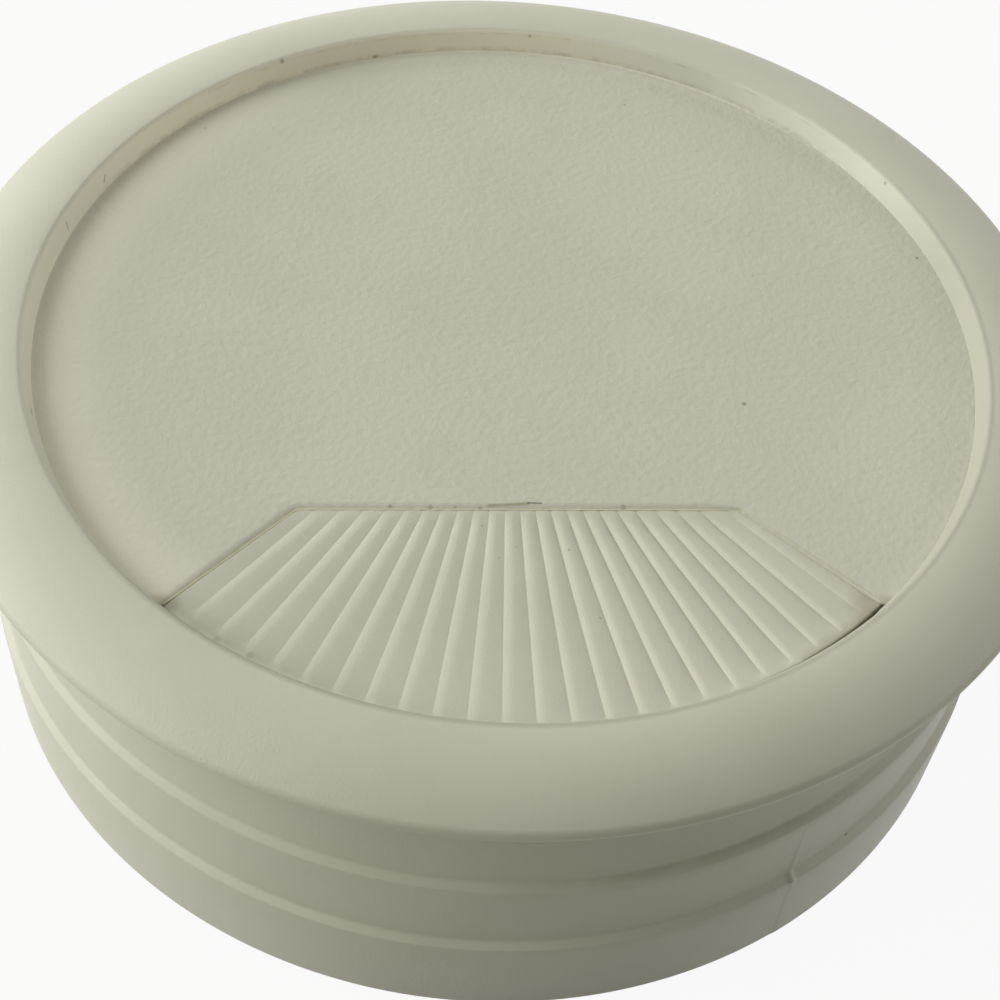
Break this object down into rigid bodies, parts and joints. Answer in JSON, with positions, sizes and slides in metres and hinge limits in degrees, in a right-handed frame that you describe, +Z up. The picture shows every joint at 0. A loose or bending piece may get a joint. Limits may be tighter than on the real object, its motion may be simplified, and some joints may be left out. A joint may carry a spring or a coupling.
{
  "type": "desk cable grommet",
  "caption": "Round flanged desk grommet: a barbed barrel for a hole in a desktop, with a recessed cap and a ribbed shutter that turns under it to let cables through.",
  "frame": {"origin": "on the barrel's axis, at its foot", "axes": "+Z up along the axis through the flange, the cap's window faces -Y"},
  "size_m": [0.0648, 0.0648, 0.023],
  "materials": {
    "liner_plastic": "smooth satin ivory",
    "cap_plastic": "fine spark-eroded ivory",
    "shutter_plastic": "smooth satin ivory, dirt in the gaps"
  },
  "bodies": {
    "grommet": {"liner": "liner_plastic", "cap": "cap_plastic"},
    "shutter": {"shutter": "shutter_plastic"}
  },
  "joints": [
    {"name": "shutter_turn", "type": "hinge", "parent": "grommet", "child": "shutter", "pos_m": [0, 0, 0.0197], "axis": [0, 0, 1], "range_deg": [-84, 0]}
  ]
}
